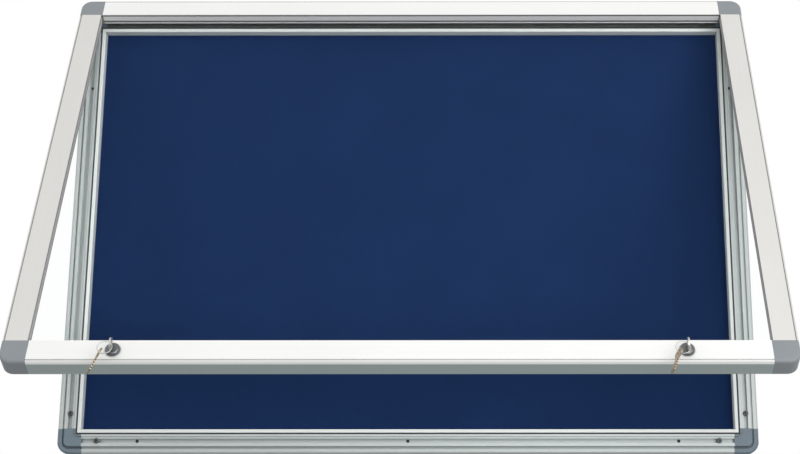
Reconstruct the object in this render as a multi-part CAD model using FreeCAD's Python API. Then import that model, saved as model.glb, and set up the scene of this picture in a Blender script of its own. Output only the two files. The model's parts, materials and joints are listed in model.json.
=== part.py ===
import FreeCAD, Part
import math
import os

# Lockable notice board with a lift-up front, millimetres.
# X runs to the right, Y into the wall and Z up.
# The origin is the middle of the back plane, and the front faces -Y.
# The door stands open as it is drawn, and it is modelled shut and then turned.

# Overall sizes
WIDTH = 1000.0
HEIGHT = 675.0
DOOR_OPEN = 25.5

# Body frame, an extruded section seen from its outer edge (u) and the wall (v)
WALL = 1.6
RIM_FRONT = 20.0
RIM_ROUND = 4.0
RIM_WIDTH = 7.0
RIM_GROOVE = 3.0
RIM_GROOVE_DEPTH = 2.2
FLANGE_FRONT = 24.0
FLANGE_CHAMFER = 0.6
SLOT_CENTRE = 18.0
SLOT_MOUTH = 6.0
SLOT_LIP = 1.2
SLOT_ROOM_WIDTH = 13.4
SLOT_ROOM_DEPTH = 4.5
INNER_FRONT = 25.6
SEAL_CENTRE = 28.2
SEAL_GROOVE_WIDTH = 2.4
SEAL_GROOVE_DEPTH = 4.0
LIP_INNER = 34.2
LIP_ROUND = 1.2
SEAT_EDGE = 26.0
BODY_CORNER = 35.5
BODY_CORNER_ROUND = 17.5
BODY_CORNER_SOFT = 3.4
PAD_SOFT = 1.2
RAISED_ROUND = 8.0
LEG_LENGTH = 30.0
LEG_CLEARANCE = 0.15

# Board behind the door
PANEL_CLEARANCE = 0.2
SHEET_THICKNESS = 1.0
CORE_THICKNESS = 6.9
TEXTILE_THICKNESS = 0.6
BEAD_CLEARANCE = 0.1
BEAD_FOOT = 1.6

# Hinge, a round bar on the body that the door's top rail wraps
HINGE_DOWN = 4.3
HINGE_FRONT = 21.7
BAR_RADIUS = 2.6
HINGE_FIT = 0.05
HOOK_WALL = 1.5
NECK = 1.6
NECK_MARGIN = 3.0
OPEN_TRAVEL = 60.0
STOP_LENGTH = 4.0
STOP_GAP = 0.3
STOP_INSET = 9.0
TOP_SKIRT_PAST = 0.3

# Door frame, a section seen from its outer edge (u) and its front face (w)
DOOR_DEPTH = 27.0
SHUT_GAP = 0.6
DOOR_RAIL = 33.0
DOOR_ROUND = 5.0
EDGE_DEPTH = 5.5
EDGE_BULGE = 0.7
LINE_AT = 3.6
LINE_WIDTH = 1.8
LINE_DEPTH = 1.1
INNER_WALL = 12.0
SHADOW_AT = 1.2
SHADOW_WIDTH = 2.4
SHADOW_DEPTH = 2.6
PANE_THICKNESS = 3.0
GASKET_WALL = 0.8
PANE_SLOT_BITE = 5.8
REAR_LIP = 31.5
RIB_WIDTH = 1.6
RIB_GAP = 0.4
DOOR_CORNER_WIDE = 35.0
DOOR_CORNER_TALL = 33.0
DOOR_CORNER_ROUND = 16.0
DOOR_CORNER_SOFT = 4.4

# Locks and keys
LOCK_FROM_SIDE = 142.0
LOCK_HEAD_RADIUS = 9.5
LOCK_HEAD = 5.0
LOCK_HEAD_SIDE = 1.4
LOCK_FACE_RADIUS = 6.4
LOCK_HEAD_BULGE = 0.8
LOCK_BARREL_RADIUS = 6.8
LOCK_HOLE_CLEARANCE = 0.1
LOCK_NUT_WALL = 0.9
LOCK_NUT_SIDES = 6
LOCK_NUT_THICKNESS = 2.5
PLUG_RADIUS = 5.2
PLUG_FIT = 0.05
PLUG_COLLAR = 1.2
COLLAR_EDGE = 0.6
COLLAR_CLEARANCE = 0.4
BAR_STEM_RADIUS = 2.1
BAR_LENGTH = 11.4
BAR_WIDTH = 4.2
BAR_THICKNESS = 2.8
KEYWAY_CLEARANCE = 0.15
KEY_THICKNESS = 2.0
KEY_BLADE = 22.0
KEY_BLADE_WIDTH = 6.6
KEY_SHOULDER = 1.0
KEY_SHOULDER_WIDTH = 8.9
KEY_CUTS = 5
KEY_CUT_DEPTH = 1.5
KEY_GROOVE = 1.4
KEY_GROOVE_DEPTH = 0.5
KEY_BOW_LENGTH = 15.0
KEY_BOW_HEIGHT = 17.6
KEY_BOW_SOFT = 3.0
KEY_HOLE_RADIUS = 3.3
KEY_HOLE_FROM_END = 7.0
RING_WIRE = 0.5
RING_RADIUS = 9.3
RING_LEAN = 41.0
SPARE_AT = 54.0
SPARE_DROP = 0.95
SPARE_LEAN = 20.0
SPARE_TILT = 8.0
SPARE_TWIST_LEFT = 30.0
SPARE_TWIST_RIGHT = 24.0

# Screws and wall holes
SCREW_HEAD_RADIUS = 3.9
SCREW_HEAD = 2.0
SCREW_HEAD_SOFT = 1.6
SCREW_RADIUS = 1.7
SCREW_HOLE_CLEARANCE = 0.1
SCREW_FROM_END = 21.5
WALL_HOLE_RADIUS = 2.4
WALL_HOLE_FROM_SIDE = 114.0
WALL_HOLE_FROM_END = 123.5

# How far a cutting tool runs past a surface, and how near two places count as one
PAST = 1.0
TOUCH = 0.01

# Values that follow from the ones above
HALF_W = WIDTH / 2
HALF_H = HEIGHT / 2
STEP_AT = RIM_WIDTH + RIM_GROOVE
SLOT_A = SLOT_CENTRE - SLOT_MOUTH / 2
SLOT_B = SLOT_CENTRE + SLOT_MOUTH / 2
ROOM_A = SLOT_CENTRE - SLOT_ROOM_WIDTH / 2
ROOM_B = SLOT_CENTRE + SLOT_ROOM_WIDTH / 2
ROOM_TOP = FLANGE_FRONT - SLOT_LIP
ROOM_FLOOR = ROOM_TOP - SLOT_ROOM_DEPTH
CHAMBER_TOP = min(ROOM_FLOOR, RIM_FRONT - RIM_GROOVE_DEPTH) - WALL
COLLAR_RADIUS = PLUG_RADIUS + COLLAR_EDGE
RAISE_AT = SLOT_CENTRE + COLLAR_RADIUS + COLLAR_CLEARANCE
SEAL_A = SEAL_CENTRE - SEAL_GROOVE_WIDTH / 2
SEAL_B = SEAL_CENTRE + SEAL_GROOVE_WIDTH / 2
SEAL_FLOOR = INNER_FRONT - SEAL_GROOVE_DEPTH
PANEL_EDGE = SEAT_EDGE + PANEL_CLEARANCE
PANEL_BACK = WALL + BEAD_CLEARANCE
SHEET_FRONT = PANEL_BACK + SHEET_THICKNESS
CORE_FRONT = SHEET_FRONT + CORE_THICKNESS
TEXTILE_FRONT = CORE_FRONT + TEXTILE_THICKNESS
BEAD_BACK = TEXTILE_FRONT + BEAD_CLEARANCE
FOOT_FRONT = BEAD_BACK + BEAD_FOOT
SEAT_TOP = FOOT_FRONT + BEAD_CLEARANCE
DOOR_FRONT = RIM_FRONT + DOOR_DEPTH
SKIRT_END = DOOR_DEPTH - SHUT_GAP
SLOT_START = DOOR_RAIL - PANE_SLOT_BITE
SLOT_END_W = INNER_WALL + PANE_THICKNESS + 2 * GASKET_WALL
REAR_WALL = SLOT_END_W + WALL
PANE_EDGE = SLOT_START + GASKET_WALL
RIB_TIP = DOOR_FRONT - INNER_FRONT - RIB_GAP
BARREL_END = DOOR_FRONT - FLANGE_FRONT - PLUG_COLLAR - 2 * RIB_GAP
HOOK_IN = BAR_RADIUS + HINGE_FIT
HOOK_OUT = HOOK_IN + HOOK_WALL
TROUGH_RADIUS = STEP_AT - HINGE_DOWN
TROUGH_FLOOR = HINGE_FRONT - TROUGH_RADIUS
AXIS_W = DOOR_FRONT - HINGE_FRONT
AXIS_POINT = FreeCAD.Vector(0, -HINGE_FRONT, HALF_H - HINGE_DOWN)
LOCK_X = HALF_W - LOCK_FROM_SIDE
LOCK_Z = -HALF_H + SLOT_CENTRE
WALL_HOLE_X = HALF_W - WALL_HOLE_FROM_SIDE
WALL_HOLE_Z = HALF_H - WALL_HOLE_FROM_END
KEY_BOW_END = -KEY_SHOULDER - KEY_BOW_LENGTH
KEY_HOLE_AT = KEY_BOW_END + KEY_HOLE_FROM_END
HOOK_REACH = HALF_W - BODY_CORNER - STOP_INSET
SWING = DOOR_OPEN + OPEN_TRAVEL

SIDES = ("bottom", "top", "left", "right")
LOCKS = (("left", -LOCK_X, SPARE_TWIST_LEFT), ("right", LOCK_X, SPARE_TWIST_RIGHT))


def on_side(side, along, u, v):
    """Point of a rail: along it, u inward from its outer edge, v out from the wall."""
    if side == "bottom":
        return FreeCAD.Vector(along, -v, -HALF_H + u)
    if side == "top":
        return FreeCAD.Vector(along, -v, HALF_H - u)
    if side == "left":
        return FreeCAD.Vector(-HALF_W + u, -v, along)
    return FreeCAD.Vector(HALF_W - u, -v, along)


def outline(path, at):
    """Closed wire through a path; a pair of points in a list is an arc to the second."""
    edges = []
    here = at(*path[0])
    for item in path[1:] + [path[0]]:
        if isinstance(item, list):
            there = at(*item[1])
            edges.append(Part.Arc(here, at(*item[0]), there).toShape())
        else:
            there = at(*item)
            edges.append(Part.makeLine(here, there))
        here = there
    return Part.Wire(edges)


def bulged(start, end, height):
    """Middle and end of a shallow arc that stands out from its chord by a height."""
    along = end[0] - start[0]
    across = end[1] - start[1]
    share = height / math.hypot(along, across)
    middle = ((start[0] + end[0]) / 2 + across * share, (start[1] + end[1]) / 2 - along * share)
    return [middle, end]


def section(side, along, path):
    """Closed wire of a rail's section at one place along it."""
    return outline(path, lambda u, v: on_side(side, along, u, v))


def bar(side, path, start, end):
    """Straight bar of one section between two places along a side."""
    face = Part.Face(section(side, start, path))
    travel = on_side(side, end, 0, 0) - on_side(side, start, 0, 0)
    return face.extrude(travel)


def block(side, a0, a1, u0, u1, v0, v1):
    """Rectangular bar in a rail's own directions."""
    return bar(side, [(u0, v0), (u1, v0), (u1, v1), (u0, v1)], a0, a1)


def round_bar(start, end, radius):
    """Cylinder between two points."""
    axis = end - start
    return Part.makeCylinder(radius, axis.Length, start, axis)


def arc_point(u, v, radius, degrees):
    """Point on a circle, counted from the wall side towards the outer edge."""
    angle = math.radians(degrees)
    return (u - radius * math.sin(angle), v - radius * math.cos(angle))


def corner_arc(u, v, radius, start, end):
    """Middle and end of an arc for a section path."""
    middle = (start + end) / 2
    return [arc_point(u, v, radius, middle), arc_point(u, v, radius, end)]


def rail_reach(side, corner_wide, corner_tall):
    """Half length of a rail between its two corner pieces."""
    if side in ("bottom", "top"):
        return HALF_W - corner_wide
    return HALF_H - corner_tall


def body_path():
    """Section of the body frame, open at the front for the seal and the sliding slot."""
    centre = RIM_ROUND
    base = RIM_FRONT - RIM_ROUND
    groove = RIM_FRONT - RIM_GROOVE_DEPTH
    return [
        (0, 0),
        (0, base),
        corner_arc(centre, base, RIM_ROUND, 90, 180),
        (RIM_WIDTH, RIM_FRONT),
        (RIM_WIDTH, groove),
        (STEP_AT, groove),
        (STEP_AT, FLANGE_FRONT - FLANGE_CHAMFER),
        (STEP_AT + FLANGE_CHAMFER, FLANGE_FRONT),
        (SLOT_A, FLANGE_FRONT),
        (SLOT_A, ROOM_TOP),
        (ROOM_A, ROOM_TOP),
        (ROOM_A, ROOM_FLOOR),
        (ROOM_B, ROOM_FLOOR),
        (ROOM_B, ROOM_TOP),
        (SLOT_B, ROOM_TOP),
        (SLOT_B, FLANGE_FRONT),
        (RAISE_AT, FLANGE_FRONT),
        (RAISE_AT, INNER_FRONT),
        (SEAL_A, INNER_FRONT),
        (SEAL_A, SEAL_FLOOR),
        (SEAL_B, SEAL_FLOOR),
        (SEAL_B, SEAT_TOP),
        (SEAT_EDGE, SEAT_TOP),
        (SEAT_EDGE, WALL),
        (BODY_CORNER, WALL),
        (BODY_CORNER, 0),
    ]


def wall_holes(side, places):
    """Fixing holes through the floor of the slot and the back of a rail."""
    tools = []
    for place in places:
        start = on_side(side, place, SLOT_CENTRE, -PAST)
        end = on_side(side, place, SLOT_CENTRE, ROOM_TOP)
        tools.append(round_bar(start, end, WALL_HOLE_RADIUS))
    return tools


def screw_holes(side, reach):
    """Holes for the screws that hold a rail to its two corner legs."""
    tools = []
    for end in (-1, 1):
        place = end * (reach - SCREW_FROM_END)
        start = on_side(side, place, SLOT_CENTRE, CHAMBER_TOP - LEG_CLEARANCE)
        stop = on_side(side, place, SLOT_CENTRE, ROOM_TOP)
        tools.append(round_bar(start, stop, SCREW_RADIUS + SCREW_HOLE_CLEARANCE))
    return tools


def trough():
    """Room round the hinge axis, cut along the whole top of the body."""
    start = on_side("top", -WIDTH, HINGE_DOWN, HINGE_FRONT)
    end = on_side("top", WIDTH, HINGE_DOWN, HINGE_FRONT)
    tube = round_bar(start, end, TROUGH_RADIUS)
    front = block("top", -WIDTH, WIDTH, -WALL, STEP_AT, HINGE_FRONT, DOOR_FRONT)
    outer = block("top", -WIDTH, WIDTH, -WALL, HINGE_DOWN, TROUGH_FLOOR, DOOR_FRONT)
    return tube.fuse([front, outer])


def hinge_bar(reach):
    """Round bar on its neck, the fixed half of the hinge."""
    start = on_side("top", -reach, HINGE_DOWN, HINGE_FRONT)
    end = on_side("top", reach, HINGE_DOWN, HINGE_FRONT)
    rod = round_bar(start, end, BAR_RADIUS)
    root = TROUGH_FLOOR - WALL / 2
    neck = block("top", -reach, reach, HINGE_DOWN - NECK / 2, HINGE_DOWN + NECK / 2,
                 root, HINGE_FRONT)
    return rod.fuse(neck)


def chamber_path(hinged):
    """Hollow of a body rail, lower under the hinge trough."""
    inner = SEAT_EDGE - WALL
    path = [(WALL, WALL), (inner, WALL), (inner, CHAMBER_TOP)]
    if not hinged:
        return path + [(WALL, CHAMBER_TOP)]
    floor = TROUGH_FLOOR - WALL
    return path + [(STEP_AT + WALL, CHAMBER_TOP), (STEP_AT + WALL, floor), (WALL, floor)]


def body_rail(side):
    """One side of the body frame."""
    reach = rail_reach(side, BODY_CORNER, BODY_CORNER)
    rail = bar(side, body_path(), -reach, reach)
    if side in ("bottom", "top"):
        places = (-WALL_HOLE_X, 0, WALL_HOLE_X)
    else:
        places = (-WALL_HOLE_Z, WALL_HOLE_Z)
    chamber = bar(side, chamber_path(side == "top"), -reach, reach)
    rail = rail.cut([chamber] + wall_holes(side, places) + screw_holes(side, reach))
    if side == "top":
        rail = rail.cut(trough()).fuse(hinge_bar(reach)).removeSplitter()
    return rail


def plan_square(wide, tall, radius, v0, v1, inset):
    """Square of the lower left corner with its outer corner rounded, as a solid."""
    a = -HALF_W + inset
    b = -HALF_H + inset
    right = -HALF_W + wide
    top = -HALF_H + tall
    turn = radius - inset
    reach = turn * (1 - math.sqrt(0.5))

    def at(x, z):
        return FreeCAD.Vector(x, -v0, z)

    edges = [
        Part.makeLine(at(a, top), at(a, b + turn)),
        Part.Arc(at(a, b + turn), at(a + reach, b + reach), at(a + turn, b)).toShape(),
        Part.makeLine(at(a + turn, b), at(right, b)),
        Part.makeLine(at(right, b), at(right, top)),
        Part.makeLine(at(right, top), at(a, top)),
    ]
    return Part.Face(Part.Wire(edges)).extrude(FreeCAD.Vector(0, v0 - v1, 0))


def plan_box(a0, a1, b0, b1, v0, v1):
    """Box at the lower left corner, a and b inward from the outer edges."""
    size = FreeCAD.Vector(a1 - a0, v1 - v0, b1 - b0)
    base = FreeCAD.Vector(-HALF_W + a0, -v1, -HALF_H + b0)
    return Part.makeBox(size.x, size.y, size.z, base)


def outer_front_edges(shape, front, inset):
    """Edges along the rounded outside of a corner piece at one depth."""
    chosen = []
    for edge in shape.Edges:
        box = edge.BoundBox
        if abs(box.YMin + front) > TOUCH or box.YLength > TOUCH:
            continue
        left = box.XMax < -HALF_W + inset + TOUCH
        low = box.ZMax < -HALF_H + inset + TOUCH
        curved = box.XLength > TOUCH and box.ZLength > TOUCH
        if left or low or curved:
            chosen.append(edge)
    return chosen


def legs(first, wide, tall, u0, u1, v0, v1):
    """Two legs that plug the corner piece into the rails beside it."""
    c = LEG_CLEARANCE
    flat = plan_box(first, wide + LEG_LENGTH, u0 + c, u1 - c, v0 + c, v1 - c)
    upright = plan_box(u0 + c, u1 - c, first, tall + LEG_LENGTH, v0 + c, v1 - c)
    return [flat, upright]


def corner_screw_holes():
    """Pilot holes in the legs of a lower left body corner."""
    tools = []
    place = BODY_CORNER + SCREW_FROM_END
    back = WALL + LEG_CLEARANCE
    for a, b in ((place, SLOT_CENTRE), (SLOT_CENTRE, place)):
        start = FreeCAD.Vector(-HALF_W + a, -back, -HALF_H + b)
        end = FreeCAD.Vector(-HALF_W + a, -CHAMBER_TOP, -HALF_H + b)
        tools.append(round_bar(start, end, SCREW_RADIUS + SCREW_HOLE_CLEARANCE))
    return tools


def body_corner(top):
    """Moulded corner of the body at the lower left, or its upper twin before mirroring."""
    size = BODY_CORNER
    turn = BODY_CORNER_ROUND
    groove_floor = RIM_FRONT - RIM_GROOVE_DEPTH
    base = plan_square(size, size, turn, 0, RIM_FRONT, 0)
    base = base.makeFillet(BODY_CORNER_SOFT, outer_front_edges(base, RIM_FRONT, 0))
    groove = plan_square(size, size, turn, groove_floor, RIM_FRONT, RIM_WIDTH)
    pad = plan_square(size, size, turn, groove_floor, FLANGE_FRONT, STEP_AT)
    pad = pad.makeFillet(PAD_SOFT, outer_front_edges(pad, FLANGE_FRONT, STEP_AT))
    raised = plan_square(size, size, RAISE_AT + RAISED_ROUND, RIM_FRONT, INNER_FRONT, RAISE_AT)
    piece = base.cut(groove).fuse([pad, raised])
    seal_room = plan_box(SEAL_A, size, SEAL_A, size, SEAL_FLOOR, INNER_FRONT)
    board_room = plan_box(SEAL_B, size, SEAL_B, size, WALL, INNER_FRONT)
    seat = plan_box(SEAT_EDGE, size, SEAT_EDGE, size, WALL, SEAT_TOP)
    piece = piece.cut([seal_room, board_room, seat])
    leg_top = TROUGH_FLOOR - WALL if top else CHAMBER_TOP
    piece = piece.fuse(legs(STEP_AT, size, size, WALL, SEAT_EDGE - WALL, WALL, leg_top))
    piece = piece.cut(corner_screw_holes())
    return piece.removeSplitter()


def mirrored(shape, right, top):
    """Copy of a lower left piece for another corner."""
    origin = FreeCAD.Vector(0, 0, 0)
    if right:
        shape = shape.mirror(origin, FreeCAD.Vector(1, 0, 0))
    if top:
        shape = shape.mirror(origin, FreeCAD.Vector(0, 0, 1))
    return shape


def slab(edge, v0, v1):
    """Flat sheet that fills the frame up to a distance from its outer edges."""
    wide = WIDTH - 2 * edge
    tall = HEIGHT - 2 * edge
    base = FreeCAD.Vector(-wide / 2, -v1, -tall / 2)
    return Part.makeBox(wide, v1 - v0, tall, base)


def mitred(side, path, inner, outer):
    """Bar whose ends are cut at 45 degrees where it meets its neighbours."""
    half = HALF_W if side in ("bottom", "top") else HALF_H
    piece = bar(side, path, -half, half)
    cutters = []
    for end in (-1, 1):
        corners = ((half, 0), (half - inner, inner), (2 * half, inner), (2 * half, 0))
        points = [on_side(side, end * along, u, -PAST) for along, u in corners]
        face = Part.Face(Part.makePolygon(points + [points[0]]))
        cutters.append(face.extrude(FreeCAD.Vector(0, -outer - 2 * PAST, 0)))
    return piece.cut(cutters)


def bead(side):
    """Clip-in strip that holds the board in the body frame."""
    foot = SEAT_EDGE + PANEL_CLEARANCE
    c = LIP_INNER - LIP_ROUND
    low = INNER_FRONT - LIP_ROUND
    path = [
        (foot, BEAD_BACK),
        (foot, FOOT_FRONT),
        (SEAL_B, FOOT_FRONT),
        (SEAL_B, INNER_FRONT),
        (c, INNER_FRONT),
        corner_arc(c, low, LIP_ROUND, 180, 270),
        (LIP_INNER, BEAD_BACK),
    ]
    return mitred(side, path, BODY_CORNER, INNER_FRONT)


def seal():
    """Soft strip in the groove of the body, one loop."""
    c = PANEL_CLEARANCE
    front = INNER_FRONT - c
    outer = slab(SEAL_A + c, SEAL_FLOOR, front)
    return outer.cut(slab(SEAL_B - c, SEAL_FLOOR - PAST, front + PAST))


def hinge_stops():
    """Two open rings on the hinge bar that keep the door from sliding along it."""
    reach = HOOK_REACH
    rings = []
    for end in (-1, 1):
        near = end * (reach + STOP_GAP)
        far = end * (reach + STOP_GAP + STOP_LENGTH)
        start = on_side("top", near, HINGE_DOWN, HINGE_FRONT)
        stop = on_side("top", far, HINGE_DOWN, HINGE_FRONT)
        ring = round_bar(start, stop, HOOK_OUT - HINGE_FIT)
        hole = round_bar(start, stop, HOOK_IN)
        gap = block("top", min(near, far), max(near, far),
                    HINGE_DOWN - NECK / 2 - HINGE_FIT, HINGE_DOWN + NECK / 2 + HINGE_FIT,
                    0, HINGE_FRONT)
        rings.append(ring.cut([hole, gap]))
    return Part.makeCompound(rings)


def screw(side, place):
    """Pan-head screw through a rail into a corner leg."""
    floor = on_side(side, place, SLOT_CENTRE, WALL + LEG_CLEARANCE + WALL)
    seat = on_side(side, place, SLOT_CENTRE, FLANGE_FRONT)
    crown = on_side(side, place, SLOT_CENTRE, FLANGE_FRONT + SCREW_HEAD)
    shank = round_bar(floor, seat, SCREW_RADIUS)
    head = round_bar(seat, crown, SCREW_HEAD_RADIUS)
    rim = [e for e in head.Edges if abs(e.BoundBox.YMax + FLANGE_FRONT + SCREW_HEAD) < TOUCH]
    head = head.makeFillet(SCREW_HEAD_SOFT, rim[:1])
    return shank.fuse(head).removeSplitter()


def screws(side):
    """The two screws of one rail."""
    reach = rail_reach(side, BODY_CORNER, BODY_CORNER)
    place = reach - SCREW_FROM_END
    return [screw(side, -place), screw(side, place)]


def to_front(path):
    """Door section paths count w back from the front face."""
    out = []
    for item in path:
        if isinstance(item, list):
            out.append([(p[0], DOOR_FRONT - p[1]) for p in item])
        else:
            out.append((item[0], DOOR_FRONT - item[1]))
    return out


def door_path(skirt):
    """Section of the door frame from its skirt round the face to the pane slot."""
    half = LINE_WIDTH / 2
    edge_start = (0, EDGE_DEPTH)
    edge_end = (LINE_AT - half, 0)
    shadow_end = SHADOW_AT + SHADOW_WIDTH
    return to_front([
        (0, skirt),
        edge_start,
        bulged(edge_start, edge_end, EDGE_BULGE),
        (LINE_AT, LINE_DEPTH),
        (LINE_AT + half, 0),
        (DOOR_RAIL, 0),
        (DOOR_RAIL, SHADOW_AT),
        (DOOR_RAIL - SHADOW_DEPTH, SHADOW_AT),
        (DOOR_RAIL - SHADOW_DEPTH, shadow_end),
        (DOOR_RAIL, shadow_end),
        (DOOR_RAIL, INNER_WALL),
        (SLOT_START, INNER_WALL),
        (SLOT_START, SLOT_END_W),
        (REAR_LIP, SLOT_END_W),
        (REAR_LIP, REAR_WALL),
        (SEAL_CENTRE + RIB_WIDTH / 2, REAR_WALL),
        (SEAL_CENTRE + RIB_WIDTH / 2, RIB_TIP),
        (SEAL_CENTRE - RIB_WIDTH / 2, RIB_TIP),
        (SEAL_CENTRE - RIB_WIDTH / 2, REAR_WALL),
        (WALL, REAR_WALL),
        (WALL, skirt),
    ])


def door_block(side, a0, a1, u0, u1, w0, w1):
    """Rectangular bar placed by its distance behind the door's front face."""
    return block(side, a0, a1, u0, u1, DOOR_FRONT - w1, DOOR_FRONT - w0)


def door_chamber(side, reach):
    """Hollow of a door rail, with its outer corner cut back behind the rounding."""
    inner = SLOT_START - WALL
    path = to_front([
        (WALL, DOOR_ROUND),
        (DOOR_ROUND, WALL),
        (inner, WALL),
        (inner, SLOT_END_W),
        (WALL, SLOT_END_W),
    ])
    return bar(side, path, -reach, reach)


def stop_rooms(reach):
    """Room in the skirt of the top rail for the stop rings."""
    tools = []
    for end in (-1, 1):
        start = on_side("top", end * HOOK_REACH, HINGE_DOWN, HINGE_FRONT)
        stop = on_side("top", end * (reach + PAST), HINGE_DOWN, HINGE_FRONT)
        tools.append(round_bar(start, stop, HOOK_OUT + STOP_GAP))
    return tools


def hook():
    """Open hook of the door's top rail that wraps the hinge bar."""
    half = math.degrees(math.asin(NECK / 2 / BAR_RADIUS))
    first = SWING + half + NECK_MARGIN
    last = 360 - half - NECK_MARGIN
    middle = (first + last) / 2
    u, v = HINGE_DOWN, HINGE_FRONT
    path = [
        arc_point(u, v, HOOK_OUT, first),
        [arc_point(u, v, HOOK_OUT, middle), arc_point(u, v, HOOK_OUT, last)],
        arc_point(u, v, HOOK_IN, last),
        [arc_point(u, v, HOOK_IN, middle), arc_point(u, v, HOOK_IN, first)],
    ]
    length = HOOK_REACH
    wrap = bar("top", path, -length, length)
    web = door_block("top", -length, length, HINGE_DOWN - NECK / 2, HINGE_DOWN + NECK / 2,
                     REAR_WALL - WALL / 2, AXIS_W - HOOK_IN - HOOK_WALL / 2)
    return [wrap, web]


def top_skirt_end():
    """Where the top skirt stops short of the hinge's swing."""
    return AXIS_W - HOOK_IN + TOP_SKIRT_PAST


def lock_holes():
    """Round holes through the door's bottom rail for the two locks."""
    tools = []
    for _, x, _ in LOCKS:
        start = FreeCAD.Vector(x, -DOOR_FRONT - PAST, LOCK_Z)
        end = FreeCAD.Vector(x, -DOOR_FRONT + REAR_WALL + PAST, LOCK_Z)
        tools.append(round_bar(start, end, LOCK_BARREL_RADIUS + LOCK_HOLE_CLEARANCE))
    return tools


def door_rail(side):
    """One side of the door frame, in its shut place."""
    reach = rail_reach(side, DOOR_CORNER_WIDE, DOOR_CORNER_TALL)
    skirt = top_skirt_end() if side == "top" else SKIRT_END
    rail = bar(side, door_path(skirt), -reach, reach)
    rail = rail.cut(door_chamber(side, reach))
    if side == "top":
        rail = rail.cut(stop_rooms(reach)).fuse(hook()).removeSplitter()
    if side == "bottom":
        rail = rail.cut(lock_holes())
    return rail


def door_corner(top):
    """Moulded corner of the door, hollow behind, in its shut place."""
    wide = DOOR_CORNER_WIDE
    tall = DOOR_CORNER_TALL
    back = DOOR_FRONT - SKIRT_END
    shell = plan_square(wide, tall, DOOR_CORNER_ROUND, back, DOOR_FRONT, 0)
    edges = outer_front_edges(shell, DOOR_FRONT, 0)
    shell = shell.makeFillet(DOOR_CORNER_SOFT, edges)
    room = plan_square(wide, tall, DOOR_CORNER_ROUND, back, DOOR_FRONT - REAR_WALL, WALL)
    slot = plan_box(SLOT_START, wide, SLOT_START, tall, DOOR_FRONT - SLOT_END_W,
                    DOOR_FRONT - INNER_WALL)
    lip = plan_box(REAR_LIP, wide, REAR_LIP, tall, back, DOOR_FRONT - INNER_WALL)
    piece = shell.cut([room, slot, lip])
    half = RIB_WIDTH / 2
    rib = plan_box(SEAL_CENTRE - half, wide, SEAL_CENTRE - half, tall,
                   DOOR_FRONT - RIB_TIP, DOOR_FRONT - REAR_WALL)
    rib = rib.cut(plan_box(SEAL_CENTRE + half, wide, SEAL_CENTRE + half, tall,
                           DOOR_FRONT - RIB_TIP, DOOR_FRONT - REAR_WALL))
    parts = legs(DOOR_ROUND, wide, tall, DOOR_ROUND - LEG_CLEARANCE, SLOT_START - WALL,
                 DOOR_FRONT - SLOT_END_W, DOOR_FRONT - WALL)
    piece = piece.fuse([rib] + parts)
    if top:
        relief = plan_box(-PAST, WIDTH, -PAST, STEP_AT, back - PAST, DOOR_FRONT - top_skirt_end())
        piece = piece.cut(relief)
    return piece.removeSplitter()


def pane_gasket():
    """Soft channel round the edge of the pane."""
    ring = slab(SLOT_START, DOOR_FRONT - SLOT_END_W, DOOR_FRONT - INNER_WALL)
    hole = slab(DOOR_RAIL - BEAD_CLEARANCE, 0, DOOR_FRONT)
    room = slab(PANE_EDGE, DOOR_FRONT - SLOT_END_W + GASKET_WALL,
                DOOR_FRONT - INNER_WALL - GASKET_WALL)
    rear = slab(REAR_LIP, 0, DOOR_FRONT - INNER_WALL - GASKET_WALL)
    return ring.cut([hole, room, rear])


def pane():
    """Clear sheet of the door."""
    back = DOOR_FRONT - SLOT_END_W + GASKET_WALL
    return slab(PANE_EDGE, back, back + PANE_THICKNESS)


def lock_housing(x):
    """Fixed sleeve of a lock: domed head in front, barrel through the rail."""
    front = -DOOR_FRONT - LOCK_HEAD
    rear = -DOOR_FRONT + BARREL_END
    bore = PLUG_RADIUS + PLUG_FIT
    face_rim = (LOCK_FACE_RADIUS, front)
    side_rim = (LOCK_HEAD_RADIUS, -DOOR_FRONT - LOCK_HEAD_SIDE)
    path = [
        (bore, front),
        face_rim,
        bulged(face_rim, side_rim, LOCK_HEAD_BULGE),
        (LOCK_HEAD_RADIUS, -DOOR_FRONT),
        (LOCK_BARREL_RADIUS, -DOOR_FRONT),
        (LOCK_BARREL_RADIUS, rear),
        (bore, rear),
    ]
    wire = outline(path, lambda r, y: FreeCAD.Vector(x + r, y, LOCK_Z))
    return Part.Face(wire).revolve(FreeCAD.Vector(x, 0, LOCK_Z), FreeCAD.Vector(0, 1, 0), 360)


def lock_nut(x):
    """Six-sided nut that clamps a lock from behind the rail, one flat towards the rib."""
    start = -DOOR_FRONT + REAR_WALL
    radius = (LOCK_BARREL_RADIUS + LOCK_NUT_WALL) / math.cos(math.pi / LOCK_NUT_SIDES)
    points = []
    for i in range(LOCK_NUT_SIDES):
        angle = math.tau * (i + 1 / 2) / LOCK_NUT_SIDES
        points.append(FreeCAD.Vector(x + radius * math.sin(angle), start,
                                     LOCK_Z + radius * math.cos(angle)))
    face = Part.Face(Part.makePolygon(points + [points[0]]))
    nut = face.extrude(FreeCAD.Vector(0, LOCK_NUT_THICKNESS, 0))
    hole = round_bar(FreeCAD.Vector(x, start - PAST, LOCK_Z),
                     FreeCAD.Vector(x, start + LOCK_NUT_THICKNESS + PAST, LOCK_Z),
                     LOCK_BARREL_RADIUS + PLUG_FIT)
    return nut.cut(hole)


def plug_rear():
    """Back face of the lock's core, where the collar of the locking bar starts."""
    return -DOOR_FRONT + BARREL_END + PLUG_FIT


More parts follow.
